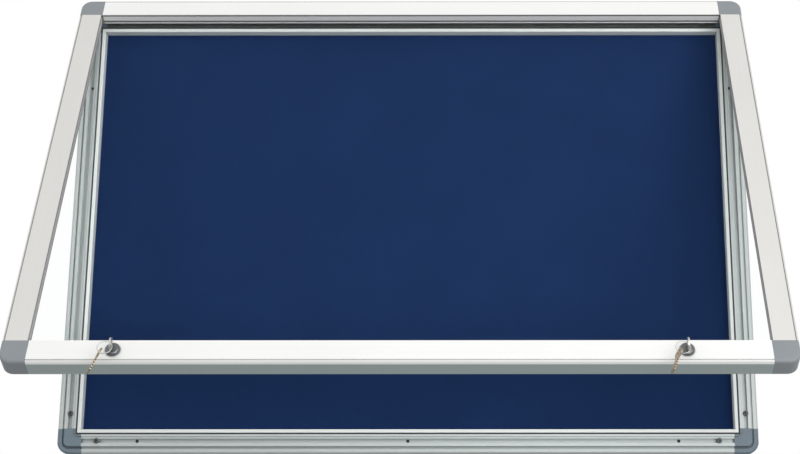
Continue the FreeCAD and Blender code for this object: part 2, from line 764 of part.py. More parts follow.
def plug(x):
    """Turning core of a lock with its keyway."""
    front = -DOOR_FRONT - LOCK_HEAD
    core = round_bar(FreeCAD.Vector(x, front, LOCK_Z),
                     FreeCAD.Vector(x, plug_rear(), LOCK_Z), PLUG_RADIUS)
    wide = KEY_THICKNESS + 2 * KEYWAY_CLEARANCE
    tall = KEY_BLADE_WIDTH + 2 * KEYWAY_CLEARANCE
    deep = KEY_BLADE + 2 * KEYWAY_CLEARANCE
    way = Part.makeBox(wide, deep + PAST, tall,
                       FreeCAD.Vector(x - wide / 2, front - PAST, LOCK_Z - tall / 2))
    return core.cut(way)


def locking_bar(x):
    """Collar, stem and cross bar that turn behind the lips of the slot."""
    start = plug_rear()
    collar = round_bar(FreeCAD.Vector(x, start, LOCK_Z),
                       FreeCAD.Vector(x, start + PLUG_COLLAR, LOCK_Z),
                       COLLAR_RADIUS)
    middle = -(ROOM_TOP + ROOM_FLOOR) / 2
    bar_front = middle - BAR_THICKNESS / 2
    stem = round_bar(FreeCAD.Vector(x, start + PLUG_COLLAR / 2, LOCK_Z),
                     FreeCAD.Vector(x, bar_front + BAR_THICKNESS / 2, LOCK_Z),
                     BAR_STEM_RADIUS)
    cross = Part.makeBox(BAR_LENGTH, BAR_THICKNESS, BAR_WIDTH,
                         FreeCAD.Vector(x - BAR_LENGTH / 2, bar_front, LOCK_Z - BAR_WIDTH / 2))
    return collar.fuse([stem, cross]).removeSplitter()


def key_outline():
    """Outline of a key in Y and Z: cut blade, shoulder and a bow with a round end."""
    wide = KEY_BLADE_WIDTH / 2
    shoulder = KEY_SHOULDER_WIDTH / 2
    bow = KEY_BOW_HEIGHT / 2
    widest = KEY_BOW_END + bow
    path = [
        (0, -wide),
        (0, -shoulder),
        (-KEY_SHOULDER, -shoulder),
        (widest, -bow),
        [(KEY_BOW_END, 0), (widest, bow)],
        (-KEY_SHOULDER, shoulder),
        (0, shoulder),
        (0, wide),
        (KEY_BLADE - wide, wide),
        (KEY_BLADE, 0),
    ]
    pitch = (KEY_BLADE - wide) / KEY_CUTS
    for i in range(KEY_CUTS):
        y = KEY_BLADE - wide - i * pitch
        path.append((y - pitch / 4, -wide))
        path.append((y - pitch / 2, -wide + KEY_CUT_DEPTH))
        path.append((y - pitch * 3 / 4, -wide))
    return path


def key_shape():
    """Key at the origin: blade along +Y, bow along -Y, flat in the YZ plane."""
    half = KEY_THICKNESS / 2
    face = Part.Face(outline(key_outline(), lambda y, z: FreeCAD.Vector(-half, y, z)))
    key = face.extrude(FreeCAD.Vector(KEY_THICKNESS, 0, 0))
    widest = KEY_BOW_END + KEY_BOW_HEIGHT / 2
    cheeks = []
    for edge in key.Edges:
        box = edge.BoundBox
        if box.YLength + box.ZLength < TOUCH and abs(box.YMin - widest) < TOUCH:
            cheeks.append(edge)
    key = key.makeFillet(KEY_BOW_SOFT, cheeks)
    hole = round_bar(FreeCAD.Vector(-half - PAST, KEY_HOLE_AT, 0),
                     FreeCAD.Vector(half + PAST, KEY_HOLE_AT, 0), KEY_HOLE_RADIUS)
    groove = Part.makeBox(KEY_GROOVE_DEPTH, KEY_BLADE + PAST, KEY_GROOVE,
                          FreeCAD.Vector(half - KEY_GROOVE_DEPTH, 0, KEY_GROOVE / 2))
    return key.cut([hole, groove])


def key_start():
    """Where the shoulder of a key stops at the face of its lock."""
    return -DOOR_FRONT - LOCK_HEAD - KEYWAY_CLEARANCE


def lock_key(x):
    """Key pushed home in a lock."""
    key = key_shape()
    key.translate(FreeCAD.Vector(x, key_start(), LOCK_Z))
    return key


def ring_centre(x):
    """Middle of the key ring, to the left of the bow and a little lower."""
    angle = math.radians(RING_LEAN)
    return FreeCAD.Vector(x - RING_RADIUS * math.cos(angle), key_start() + KEY_HOLE_AT,
                          LOCK_Z - RING_RADIUS * math.sin(angle))


def key_ring(x):
    """Small ring through both bows, parallel to the face of the door."""
    return Part.makeTorus(RING_RADIUS, RING_WIRE, ring_centre(x), FreeCAD.Vector(0, 1, 0))


def spare_hole(x):
    """Where the spare key's bow hangs on the ring, low on its left side."""
    angle = math.radians(SPARE_AT)
    centre = ring_centre(x)
    return centre + FreeCAD.Vector(-RING_RADIUS * math.cos(angle), 0,
                                   -RING_RADIUS * math.sin(angle))


def spare_key(x, twist):
    """Second key of the pair, hanging from the ring with its tip towards the door."""
    origin = FreeCAD.Vector(0, 0, 0)
    key = key_shape()
    key.translate(FreeCAD.Vector(0, SPARE_DROP - KEY_HOLE_AT, 0))
    key.rotate(origin, FreeCAD.Vector(1, 0, 0), -90)
    key.rotate(origin, FreeCAD.Vector(0, 0, 1), twist)
    key.rotate(origin, FreeCAD.Vector(1, 0, 0), SPARE_TILT)
    key.rotate(origin, FreeCAD.Vector(0, 1, 0), SPARE_LEAN)
    key.translate(spare_hole(x))
    return key


def opened(shape):
    """Turn a shut piece of the door to where the door stands."""
    copy = shape.copy()
    copy.rotate(AXIS_POINT, FreeCAD.Vector(1, 0, 0), -DOOR_OPEN)
    return copy


def fixed_pieces():
    """Everything that stays on the wall."""
    pieces = {}
    for side in SIDES:
        pieces["body_rail_" + side] = body_rail(side)
        pieces["board_bead_" + side] = bead(side)
        pieces["body_screws_" + side] = Part.makeCompound(screws(side))
    for top in (False, True):
        corner = body_corner(top)
        height = "top" if top else "bottom"
        for right in (False, True):
            name = "body_corner_" + height + ("_right" if right else "_left")
            piece = mirrored(corner, right, top)
            pieces[name] = piece.cut(trough()) if top else piece
    pieces["back_sheet"] = slab(PANEL_EDGE, PANEL_BACK, SHEET_FRONT)
    pieces["pin_core"] = slab(PANEL_EDGE, SHEET_FRONT, CORE_FRONT)
    pieces["pin_textile"] = slab(PANEL_EDGE, CORE_FRONT, TEXTILE_FRONT)
    pieces["body_seal"] = seal()
    pieces["hinge_stops"] = hinge_stops()
    return pieces


def door_pieces():
    """Everything that swings with the door, in its shut place."""
    pieces = {}
    for side in SIDES:
        pieces["door_rail_" + side] = door_rail(side)
    for top in (False, True):
        corner = door_corner(top)
        height = "top" if top else "bottom"
        for right in (False, True):
            name = "door_corner_" + height + ("_right" if right else "_left")
            pieces[name] = mirrored(corner, right, top)
    pieces["door_pane"] = pane()
    pieces["pane_gasket"] = pane_gasket()
    for name, x, twist in LOCKS:
        pieces["lock_housing_" + name] = lock_housing(x)
        pieces["lock_nut_" + name] = lock_nut(x)
        pieces["lock_plug_" + name] = plug(x)
        pieces["locking_bar_" + name] = locking_bar(x)
        pieces["lock_key_" + name] = lock_key(x)
        pieces["key_ring_" + name] = key_ring(x)
        pieces["spare_key_" + name] = spare_key(x, twist)
    return pieces


def main():
    os.makedirs("parts", exist_ok=True)
    pieces = fixed_pieces()
    for name, shape in door_pieces().items():
        pieces[name] = opened(shape)
    for name, shape in pieces.items():
        if not shape.isValid():
            print("not valid:", name)
        print(name, len(shape.Solids), round(shape.Volume, 1))
        shape.exportStep("parts/" + name + ".step")
    print("hinge axis", AXIS_POINT)
    for name, x, _ in LOCKS:
        point = FreeCAD.Placement(FreeCAD.Vector(0, 0, 0),
                                  FreeCAD.Rotation(FreeCAD.Vector(1, 0, 0), -DOOR_OPEN),
                                  AXIS_POINT)
        print("lock", name, point.multVec(FreeCAD.Vector(x, -DOOR_FRONT, LOCK_Z)))
        print("spare", name, point.multVec(spare_hole(x)))


main()
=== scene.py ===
"""Looks and lighting of a lockable notice board with a lift-up front."""

import json
import math

import bmesh
import bpy
from bpy.props import FloatProperty, FloatVectorProperty, IntProperty, PointerProperty
from mathutils import Matrix, Vector

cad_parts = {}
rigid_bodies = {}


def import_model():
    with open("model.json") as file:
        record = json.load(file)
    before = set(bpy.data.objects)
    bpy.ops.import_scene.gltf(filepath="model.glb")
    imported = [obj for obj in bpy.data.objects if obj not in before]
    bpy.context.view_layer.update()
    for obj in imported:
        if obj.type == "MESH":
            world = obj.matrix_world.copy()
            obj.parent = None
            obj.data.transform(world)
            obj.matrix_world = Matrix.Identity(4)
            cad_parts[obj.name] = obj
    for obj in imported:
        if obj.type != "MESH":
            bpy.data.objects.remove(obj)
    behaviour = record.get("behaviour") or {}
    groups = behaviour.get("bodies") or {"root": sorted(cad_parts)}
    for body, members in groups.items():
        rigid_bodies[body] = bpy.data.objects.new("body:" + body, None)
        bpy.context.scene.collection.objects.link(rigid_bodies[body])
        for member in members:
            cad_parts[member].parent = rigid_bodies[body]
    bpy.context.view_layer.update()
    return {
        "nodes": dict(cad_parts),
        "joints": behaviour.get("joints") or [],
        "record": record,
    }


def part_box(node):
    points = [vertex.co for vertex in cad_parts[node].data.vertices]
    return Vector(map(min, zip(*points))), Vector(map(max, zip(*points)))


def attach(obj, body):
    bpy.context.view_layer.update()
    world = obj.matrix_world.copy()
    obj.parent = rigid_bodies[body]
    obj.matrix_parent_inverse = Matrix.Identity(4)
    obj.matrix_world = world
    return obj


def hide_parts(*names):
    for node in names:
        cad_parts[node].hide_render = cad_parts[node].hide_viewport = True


bl_info = {
    "name": "Lockable notice board",
    "version": (1, 0, 0),
    "blender": (4, 5, 0),
    "location": "View3D > Sidebar > Notice board",
    "description": "Metal, felt, pane, locks and lighting of a notice board case",
    "category": "Object",
}

for leftover in list(bpy.data.objects):
    bpy.data.objects.remove(leftover)

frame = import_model()

# A door rail's outer side: depth of its edge strip, thickness of its skin and the tone of the shade
# painted on it
STRIP_DEPTH = 0.0056
SIDE_SKIN = 0.0012
SIDE_SHADE_TONE = (0.42, 0.49, 0.49, 1.0)

# Painted shade in hollows: share of open sky under which a spot counts as sheltered and gets the
# full painted shade, and over which it counts as open and gets none
SHELTERED, OPEN = 0.3, 0.85
SHELTER_SAMPLES = 6
# How near a wall has to be to shelter a spot and put painted shade on it: in a groove, under
# the door's hook, along the crack beside a corner and in the trim of small parts
GROOVE_REACH = 0.0035
HOOK_REACH = 0.03
CRACK_REACH = 0.003
TRIM_REACH = 0.0016

# Turns of the felt's three layers of fibres about the line of sight
FIBRE_TURNS = (0.3, 1.35, 2.4)

# How finely round shapes are cut, and the angle from which an edge is shaded sharp
ARC_STEPS = 8
CORNER_STEPS = 6
SCREW_STEPS = 28
PLUG_STEPS = 24
SMOOTH_ANGLE = math.radians(35)

# A pan head: its shank and its straight rim as shares of radius and height, and its dome's rings
SHANK_SHARE = 0.5
RIM_SHARE = 0.35
DOME_SHARES = (0.3, 0.55, 0.75, 0.9)
DOME_CLOSING = 0.62

# A cross recess: height of its foot, the foot's share of the mouth, half the width of an arm as
# a share of its reach, and how far the cutter stands above the head
RECESS_FOOT = 0.15
FOOT_REACH, FOOT_WIDTH = 0.35, 0.6
ARM_WIDTH = 0.3
CUTTER_ROOM = 0.0005

# A plug's rings as shares of its radius and length, from its rear end to its hollow face
PLUG_RINGS = ((0.55, 1.0), (1.0, 0.85), (1.0, 0.0), (0.8, 0.0), (0.55, 0.25))

# How much shorter the channel's rear lip is than its front lip
LIP_STEP = 0.0016

# The floor's half width, its tone and how much of that tone it sends back up
FLOOR_HALF = 6
FLOOR_GREY = (0.66, 0.66, 0.66)
FLOOR_BOUNCE = 0.6

# Each lamp's width, height, place and target
KEY_LAMP = (2.6, 1.6, (1.9, -3.0, 1.3), (0, -0.15, 0))
FILL_LAMP = (2.0, 2.0, (-2.4, -2.6, 0.3), (0, -0.15, 0))
LOW_LAMP = (2.4, 0.7, (1.0, -2.5, -0.6), (0, -0.2, 0))

# The photographer's camera
SENSOR_WIDTH = 36
EYE_SHIFT = -0.0753
EYE_AT = (0.0789, -2.2290, -0.6008)
EYE_TURN = (math.radians(105.125), 0, math.radians(0.11))

# Sockets that share their names with others, by their places on the Mix and Random Value nodes
MIX_FIRST, MIX_SECOND, MIX_RESULT = 6, 7, 2
RANDOM_MOST, RANDOM_RESULT = 3, 1

LEVELS = ("bottom", "top")
ENDS = ("left", "right")
SIDES = LEVELS + ENDS

HINGE = next(joint for joint in frame["joints"] if joint["name"] == "door_hinge")
HINGE_AT = Vector(HINGE["pos_m"])
DOOR_TURN = math.radians(HINGE["range_deg"][0])
OPENED = (
    Matrix.Translation(HINGE_AT)
    @ Matrix.Rotation(DOOR_TURN, 4, "X")
    @ Matrix.Translation(-HINGE_AT)
)


def screen(red, green, blue):
    """Linear colour of a screen colour given as 0 to 255."""
    out = []
    for value in (red, green, blue):
        share = value / 255
        out.append(share / 12.92 if share <= 0.04045 else ((share + 0.055) / 1.055) ** 2.4)
    return tuple(out)


# Settings


def colour_setting(name, description, default):
    """Setting that holds a linear colour."""
    return FloatVectorProperty(
        name=name, description=description, subtype="COLOR", size=3, min=0, max=1, default=default
    )


def length_setting(name, description, default):
    """Setting that holds a length in metres."""
    return FloatProperty(
        name=name, description=description, unit="LENGTH", min=0, precision=5, default=default
    )


def level_setting(name, description, default, unit="NONE"):
    """Setting that holds the level of a light."""
    return FloatProperty(name=name, description=description, unit=unit, min=0, default=default)


class CaseSettings(bpy.types.PropertyGroup):
    """Looks of the wall frame, its seal and its backing"""

    rail_colour: colour_setting("Rails", "Anodised metal of the wall frame", screen(182, 189, 188))
    # Painted light: the beads' metal is a lighter copy of the rails' metal, to lift their shaded
    # undersides
    lit_bead_colour: colour_setting("Beads", "Metal of the clip-in strips", screen(214, 219, 217))
    corner_colour: colour_setting("Corners", "Plastic of the corners", screen(102, 117, 127))
    sheet_colour: colour_setting("Back sheet", "Zinc of the back sheet", screen(176, 180, 182))
    core_colour: colour_setting("Core", "Soft fibreboard under the felt", screen(150, 126, 96))
    stop_colour: colour_setting("Stop rings", "Steel of the hinge's rings", screen(150, 152, 154))
    seal_colour: colour_setting("Seal", "Rubber of the seal in the wall frame", screen(56, 57, 56))
    seal_width: length_setting("Seal width", "Width of the bulb of the seal", 0.0019)
    seal_corner: length_setting("Seal corner", "Bending radius of the seal in a corner", 0.0012)


class BoardSettings(bpy.types.PropertyGroup):
    """Looks and mesh of the felt"""

    textile_colour: colour_setting("Textile", "Dyed felt of the pin board", screen(21, 41, 77))
    fibre_length: length_setting("Fibre length", "Length of the felt's fibres", 0.004)
    fibre_width: length_setting("Fibre width", "Width of a bundle of the felt's fibres", 0.0003)
    unevenness: length_setting("Unevenness", "How far the felt rises and falls", 0.00008)
    squares: IntProperty(
        name="Squares", description="Squares of the felt's mesh along its width", min=8, default=150
    )


class ScrewSettings(bpy.types.PropertyGroup):
    """Sizes and looks of the screws and the plugs"""

    head_radius: length_setting("Head radius", "Radius of a pan head", 0.0039)
    head_height: length_setting("Head height", "Height of a pan head", 0.002)
    head_colour: colour_setting("Screws", "Zinc of the screws", screen(96, 98, 100))
    recess: length_setting("Recess", "Reach of the cross recess from its middle", 0.0024)
    plug_radius: length_setting("Plug radius", "Radius of the plug in a fixing hole", 0.0024)
    plug_length: length_setting("Plug length", "Length of the plug in a fixing hole", 0.0012)
    plug_level: length_setting("Plug level", "Height of the slot's floor above the wall", 0.0183)
    plug_sunk: length_setting("Plug depth", "How far the plug sits below the slot's floor", 0.0002)
    plug_colour: colour_setting("Plugs", "Soft plugs in the fixing holes", screen(26, 27, 28))
    turn_seed: IntProperty(name="Turn seed", description="Seed of the turn of each head", default=4)


class DoorSettings(bpy.types.PropertyGroup):
    """Looks of the door and sizes of the pane's channel"""

    # The door's rails are one metal in lit and shaded copies: painted light makes the sides darker
    # and the bottom and top lighter
    shaded_side_colour: colour_setting("Side rails", "Metal of the door's sides", screen(222, 221, 217))
    lit_low_colour: colour_setting("Bottom rail", "Metal of the door's bottom", screen(246, 247, 245))
    lit_top_colour: colour_setting("Top rail", "Metal of the door's top", screen(249, 249, 246))
    corner_colour: colour_setting("Corners", "Moulded corners of the door", screen(139, 145, 149))
    channel_colour: colour_setting("Channel", "Soft channel round the pane", screen(118, 122, 122))
    pane_tint: colour_setting("Pane", "Tint of the clear pane", (0.985, 0.992, 0.99))
    channel_lip: length_setting("Channel lip", "Thickness of the channel round the pane", 0.0008)
    channel_show: length_setting("Channel edge", "How far the channel shows past the rail", 0.0004)


class LockSettings(bpy.types.PropertyGroup):
    """Looks of locks, keys and rings"""

    head_colour: colour_setting("Lock", "Plated metal of the locks", screen(112, 115, 117))
    key_colour: colour_setting("Key", "Plated key in each lock", screen(205, 204, 198))
    spare_colour: colour_setting("Spare key", "Brass of the hanging keys", screen(161, 145, 123))
    nut_colour: colour_setting("Nuts", "Dull metal of nuts and bars", screen(164, 165, 164))
    ring_colour: colour_setting("Key rings", "Steel wire of the key rings", screen(214, 214, 210))


class StageSettings(bpy.types.PropertyGroup):
    """Floor, light and lens"""

    floor_level: FloatProperty(
        name="Floor", description="Height of the floor", unit="LENGTH", default=-1.0
    )
    room_light: level_setting("Room light", "Level of the light from all round", 0.72)
    key_power: level_setting("Key lamp", "Power of the lamp at the right", 24, "POWER")
    fill_power: level_setting("Fill lamp", "Power of the lamp at the left", 6, "POWER")
    low_power: level_setting("Low lamp", "Power of the lamp low in front", 21, "POWER")
    lens: FloatProperty(name="Lens", description="Focal length in millimetres", default=69.706)


GROUPS = {
    "board_case": CaseSettings,
    "board_cloth": BoardSettings,
    "board_screws": ScrewSettings,
    "board_door": DoorSettings,
    "board_locks": LockSettings,
    "board_stage": StageSettings,
}


# Node helpers


def add(tree, kind, inputs=None, **settings):
    """New node; an input given as a socket is linked, any other value is set."""
    node = tree.nodes.new(kind)
    for name, value in settings.items():
        setattr(node, name, value)
    for key, value in (inputs or {}).items():
        if isinstance(value, bpy.types.NodeSocket):
            tree.links.new(value, node.inputs[key])
        else:
            node.inputs[key].default_value = value
    return node


def finish_of(name):
    """Empty material, its tree, its shader and the object's own coordinates."""
    material = bpy.data.materials.new(name)
    material.use_nodes = True
    tree = material.node_tree
    shader = tree.nodes["Principled BSDF"]
    place = add(tree, "ShaderNodeTexCoord").outputs["Object"]
    return material, tree, shader, place


def link(tree, socket, shader, name):
    """Lead an output to a shader's input."""
    tree.links.new(socket, shader.inputs[name])


def calc(tree, operation, first, second=0.5, third=0.5):
    """Output of a Math node."""
    inputs = {0: first, 1: second, 2: third}
    return add(tree, "ShaderNodeMath", inputs, operation=operation).outputs[0]


def between(tree, share, low, high):
    """Number from low to high as share goes from 0 to 1."""
    inputs = {"Value": share, "To Min": low, "To Max": high}
    return add(tree, "ShaderNodeMapRange", inputs).outputs["Result"]


def shade(colour, level):
    """Colour made lighter or darker, with an alpha of one."""
    return (*(min(1.0, part * level) for part in colour), 1.0)


def colour_mix(tree, share, first, second, method="MIX"):
    """Output of a Mix node that works on colours."""
    inputs = {"Factor": share, MIX_FIRST: first, MIX_SECOND: second}
    node = add(tree, "ShaderNodeMix", inputs, data_type="RGBA", blend_type=method)
    return node.outputs[MIX_RESULT]


def shades(tree, share, colour, dark, light):
    """Colour between a darker and a lighter shade of one colour."""
    return colour_mix(tree, share, shade(colour, dark), shade(colour, light))


def noise(tree, place, scale=1.0, detail=2.0, roughness=0.5):
    """Noise from 0 to 1 at a place."""
    inputs = {"Vector": place, "Scale": scale, "Detail": detail, "Roughness": roughness}
    return add(tree, "ShaderNodeTexNoise", inputs).outputs[0]


def blend(tree, first, second):
    """Six parts of one pattern and four of another."""
    return calc(tree, "MULTIPLY_ADD", first, 0.6, calc(tree, "MULTIPLY", second, 0.4))


def turned_back(tree, place, turn):
    """Coordinates turned about the hinge's line; minus the door's turn gives the shut door."""
    inputs = {"Vector": place, "Center": HINGE_AT, "Angle": turn}
    return add(tree, "ShaderNodeVectorRotate", inputs, rotation_type="X_AXIS").outputs[0]


def stretched(tree, place, scale, turn=0.0):
    """Coordinates turned about the hinge and scaled per axis, for marks drawn along a rail."""
    inputs = {"Vector": turned_back(tree, place, turn), "Scale": scale}
    return add(tree, "ShaderNodeMapping", inputs).outputs[0]


def relief(tree, shader, height, distance, strength=1.0):
    """Fine bumps in a finish."""
    inputs = {"Height": height, "Distance": distance, "Strength": strength}
    bump = add(tree, "ShaderNodeBump", inputs).outputs[0]
    link(tree, bump, shader, "Normal")


def darker(tree, colour, level):
    """Colour times a level or another colour."""
    return colour_mix(tree, 1.0, colour, level, "MULTIPLY")


def painted_hollow_shade(tree, colour, reach, level):
    """Colour darkened by painted shade in grooves and along joints, where a wall is near."""
    inputs = {"Distance": reach}
    sky = add(tree, "ShaderNodeAmbientOcclusion", inputs, samples=SHELTER_SAMPLES)
    inputs = {"Value": sky.outputs["AO"], "From Min": SHELTERED, "From Max": OPEN}
    share = add(tree, "ShaderNodeMapRange", inputs).outputs[0]
    return darker(tree, colour, between(tree, share, level, 1.0))


def painted_side_shade(tree, place, colour, axis, low, high, front):
    """Colour with painted shade on a door rail's outer side, behind its rounded edge strip."""
    axes = add(tree, "ShaderNodeSeparateXYZ", {0: turned_back(tree, place, -DOOR_TURN)}).outputs
    middle, half = (low + high) / 2, (high - low) / 2
    off = calc(tree, "ABSOLUTE", calc(tree, "SUBTRACT", axes["XYZ".index(axis)], middle))
    outer = calc(tree, "GREATER_THAN", off, half - SIDE_SKIN)
    behind = calc(tree, "GREATER_THAN", axes[1], front + STRIP_DEPTH)
    share = calc(tree, "MULTIPLY", outer, behind)
    return darker(tree, colour, colour_mix(tree, share, (1.0, 1.0, 1.0, 1.0), SIDE_SHADE_TONE))


# Finishes


def drawn_metal(
    name, colour, along, turn=0.0, metallic=0.35, hollow_shade_level=0.06, side=None, reach=GROOVE_REACH
):
    """Satin anodised metal with faint lines along its extrusion, painted shade in its hollows and,
    where a side is given, painted shade on a door rail's outer side.
    """
    material, tree, shader, place = finish_of(name)
    fine = [900.0, 900.0, 900.0]
    fine["XYZ".index(along)] = 2.5
    lines = noise(tree, stretched(tree, place, fine, turn), detail=3.0, roughness=0.6)
    cloud = noise(tree, place, scale=7.0, detail=3.0)
    grain = noise(tree, place, scale=1600.0, detail=1.0)
    mix = blend(tree, lines, cloud)
    base_colour = shades(tree, mix, colour, dark=0.9, light=1.08)
    # Painted shade on a door rail's outer side
    if side:
        base_colour = painted_side_shade(tree, place, base_colour, *side)
    # Painted shade darkens the colour in grooves and along joints
    link(tree, painted_hollow_shade(tree, base_colour, reach, hollow_shade_level), shader, "Base Color")
    link(tree, between(tree, mix, low=0.35, high=0.51), shader, "Roughness")
    shader.inputs["Metallic"].default_value = metallic
    height = calc(tree, "MULTIPLY_ADD", grain, 0.35, lines)
    relief(tree, shader, height, distance=0.00003)
    return material


def moulded(name, colour):
    """Grained moulded plastic with slightly worn high spots and painted shade along its cracks."""
    material, tree, shader, place = finish_of(name)
    grain = noise(tree, place, scale=1400.0, roughness=0.6)
    cloud = noise(tree, place, scale=22.0, detail=3.0)
    rub = noise(tree, place, scale=160.0, detail=4.0, roughness=0.7)
    base_colour = shades(tree, blend(tree, cloud, rub), colour, dark=0.86, light=1.14)
    # Painted shade darkens the colour along the cracks beside the corner
    link(tree, painted_hollow_shade(tree, base_colour, CRACK_REACH, level=0.25), shader, "Base Color")
    link(tree, between(tree, rub, low=0.36, high=0.56), shader, "Roughness")
    relief(tree, shader, grain, distance=0.00006)
    return material


def galvanised(name, colour):
    """Zinc spangle of the hot-dipped back sheet."""
    material, tree, shader, place = finish_of(name)
    shift = calc(tree, "MULTIPLY", noise(tree, place, scale=30.0), 0.02)
    offset = add(tree, "ShaderNodeVectorMath", {0: place, 1: shift}, operation="ADD")
    cells = add(tree, "ShaderNodeTexVoronoi", {"Vector": offset.outputs[0], "Scale": 120.0})
    grey = add(tree, "ShaderNodeSeparateColor", {0: cells.outputs["Color"]}).outputs[0]
    fine = noise(tree, place, scale=900.0)
    link(tree, shades(tree, grey, colour, dark=0.9, light=1.05), shader, "Base Color")
    link(tree, between(tree, grey, low=0.34, high=0.58), shader, "Roughness")
    shader.inputs["Metallic"].default_value = 0.8
    relief(tree, shader, calc(tree, "MULTIPLY_ADD", fine, 0.5, grey), distance=0.00003)
    return material


def fibre(name, colour):
    """Pressed soft fibreboard."""
    material, tree, shader, place = finish_of(name)
    drawn = stretched(tree, place, (260.0, 900.0, 700.0))
    strands = noise(tree, drawn, detail=4.0, roughness=0.7)
    flecks = noise(tree, place, scale=350.0, detail=3.0, roughness=0.7)
    mix = calc(tree, "MULTIPLY", strands, flecks)
    link(tree, shades(tree, mix, colour, dark=0.5, light=2.2), shader, "Base Color")
    shader.inputs["Roughness"].default_value = 0.95
    relief(tree, shader, strands, distance=0.0003)
    return material


def felt(name, colour, length, width):
    """Needle felt: short fibres pressed flat in every direction, with lint."""
    material, tree, shader, place = finish_of(name)
    layers = []
    for angle in FIBRE_TURNS:
        inputs = {"Vector": place, "Angle": angle}
        turned = add(tree, "ShaderNodeVectorRotate", inputs, rotation_type="Y_AXIS").outputs[0]
        inputs = {"Vector": turned, "Scale": (1 / length, 1 / width, 1 / width)}
        drawn = add(tree, "ShaderNodeMapping", inputs).outputs[0]
        layers.append(noise(tree, drawn, roughness=0.6))
    fibres = calc(tree, "MAXIMUM", calc(tree, "MAXIMUM", layers[0], layers[1]), layers[2])
    patches = noise(tree, place, scale=120.0, detail=3.0, roughness=0.6)
    lint = noise(tree, place, scale=700.0, detail=3.0, roughness=0.7)
    cloud = noise(tree, place, scale=9.0, detail=3.0)
    mix = calc(tree, "MULTIPLY", cloud, 0.3)
    for layer, weight in ((patches, 0.2), (lint, 0.15), (fibres, 0.3)):
        mix = calc(tree, "MULTIPLY_ADD", layer, weight, mix)
    link(tree, shades(tree, mix, colour, dark=0.62, light=1.36), shader, "Base Color")
    link(tree, between(tree, lint, low=0.78, high=1.0), shader, "Roughness")
    shader.inputs["Specular IOR Level"].default_value = 0.05
    shader.inputs["Sheen Weight"].default_value = 0.03
    shader.inputs["Sheen Roughness"].default_value = 0.5
    shader.inputs["Sheen Tint"].default_value = shade(colour, 3.0)
    height = calc(tree, "MULTIPLY_ADD", lint, 0.5, fibres)
    relief(tree, shader, height, distance=0.00012, strength=0.7)
    return material


def rubber(name, colour):
    """Dull rubber with a dusty bloom."""
    material, tree, shader, place = finish_of(name)
    bloom = noise(tree, place, scale=60.0, detail=4.0, roughness=0.7)
    grain = noise(tree, place, scale=1800.0)
    link(tree, shades(tree, bloom, colour, dark=0.7, light=1.5), shader, "Base Color")
    link(tree, between(tree, bloom, low=0.5, high=0.78), shader, "Roughness")
    relief(tree, shader, grain, distance=0.00004)
    return material


def clear_sheet(name, tint):
    """Clear pane; lamps shine through it on what is behind."""
    material, tree, shader, place = finish_of(name)
    smear = noise(tree, place, scale=14.0, detail=4.0, roughness=0.6)
    shader.inputs["Base Color"].default_value = (*tint, 1.0)
    shader.inputs["Transmission Weight"].default_value = 1.0
    shader.inputs["IOR"].default_value = 1.03
    link(tree, between(tree, smear, low=0.0, high=0.02), shader, "Roughness")
    lamp_ray = add(tree, "ShaderNodeLightPath").outputs["Is Shadow Ray"]
    passing = add(tree, "ShaderNodeBsdfTransparent", {0: (*tint, 1.0)}).outputs[0]
    mix = add(tree, "ShaderNodeMixShader", {0: lamp_ray, 1: shader.outputs[0], 2: passing})
    tree.links.new(mix.outputs[0], tree.nodes["Material Output"].inputs["Surface"])
    return material


def plated(name, colour, metallic=1.0, gloss=0.2, hollow_shade_level=0.5):
    """Plated or bare metal of small parts, with handling scratches and painted shade in its trim.
    """
    material, tree, shader, place = finish_of(name)
    worn = noise(tree, place, scale=420.0, detail=4.0, roughness=0.7)
    drawn = stretched(tree, place, (160.0, 2600.0, 2600.0), turn=0.6)
    scratch = noise(tree, drawn, roughness=0.7)
    mix = blend(tree, worn, scratch)
    base_colour = shades(tree, mix, colour, dark=0.78, light=1.18)
    # Painted shade darkens the colour in the trim of small parts
    link(tree, painted_hollow_shade(tree, base_colour, TRIM_REACH, hollow_shade_level), shader, "Base Color")
    link(tree, between(tree, mix, low=gloss - 0.08, high=gloss + 0.16), shader, "Roughness")
    shader.inputs["Metallic"].default_value = metallic
    relief(tree, shader, scratch, distance=0.00002)
    return material


# Pieces


def shut_box(name):
    """Lowest and highest corners of one of the door's nodes with the door shut."""
    back = OPENED.inverted()
    points = [back @ vertex.co for vertex in frame["nodes"][name].data.vertices]
    low = Vector([min(point[i] for point in points) for i in range(3)])
    high = Vector([max(point[i] for point in points) for i in range(3)])
    return low, high


def corners_of(part):
    """Names of the four corners of the case or the door."""
    return [f"{part}_corner_{level}_{end}" for level in LEVELS for end in ENDS]


def pair_of(part):
    """Names of a part's left and right nodes."""
    return [f"{part}_{end}" for end in ENDS]


def put_on(nodes, material):
    """Give CAD nodes their finish."""
    for name in nodes:
        piece = frame["nodes"][name]
        if not piece.material_slots:
            piece.data.materials.append(material)
        for slot in piece.material_slots:
            slot.material = material


def object_of(name, mesh):
    """New object at the origin."""
    piece = bpy.data.objects.new(name, mesh)
    bpy.context.scene.collection.objects.link(piece)
    return piece


def mesh_of(name, build):
    """Mesh filled by a function that works on a bmesh."""
    shape = bmesh.new()
    build(shape)
    mesh = bpy.data.meshes.new(name)
    shape.to_mesh(mesh)
    shape.free()
    return mesh


def settled(piece):
    """Turn the modifiers of a piece into a plain mesh with smooth round faces."""
    bpy.context.view_layer.update()
    depsgraph = bpy.context.evaluated_depsgraph_get()
    final = bpy.data.meshes.new_from_object(piece.evaluated_get(depsgraph))
    final.name = piece.name
    piece.modifiers.clear()
    piece.data = final
    final.shade_smooth()
    final.set_sharp_from_angle(angle=SMOOTH_ANGLE)


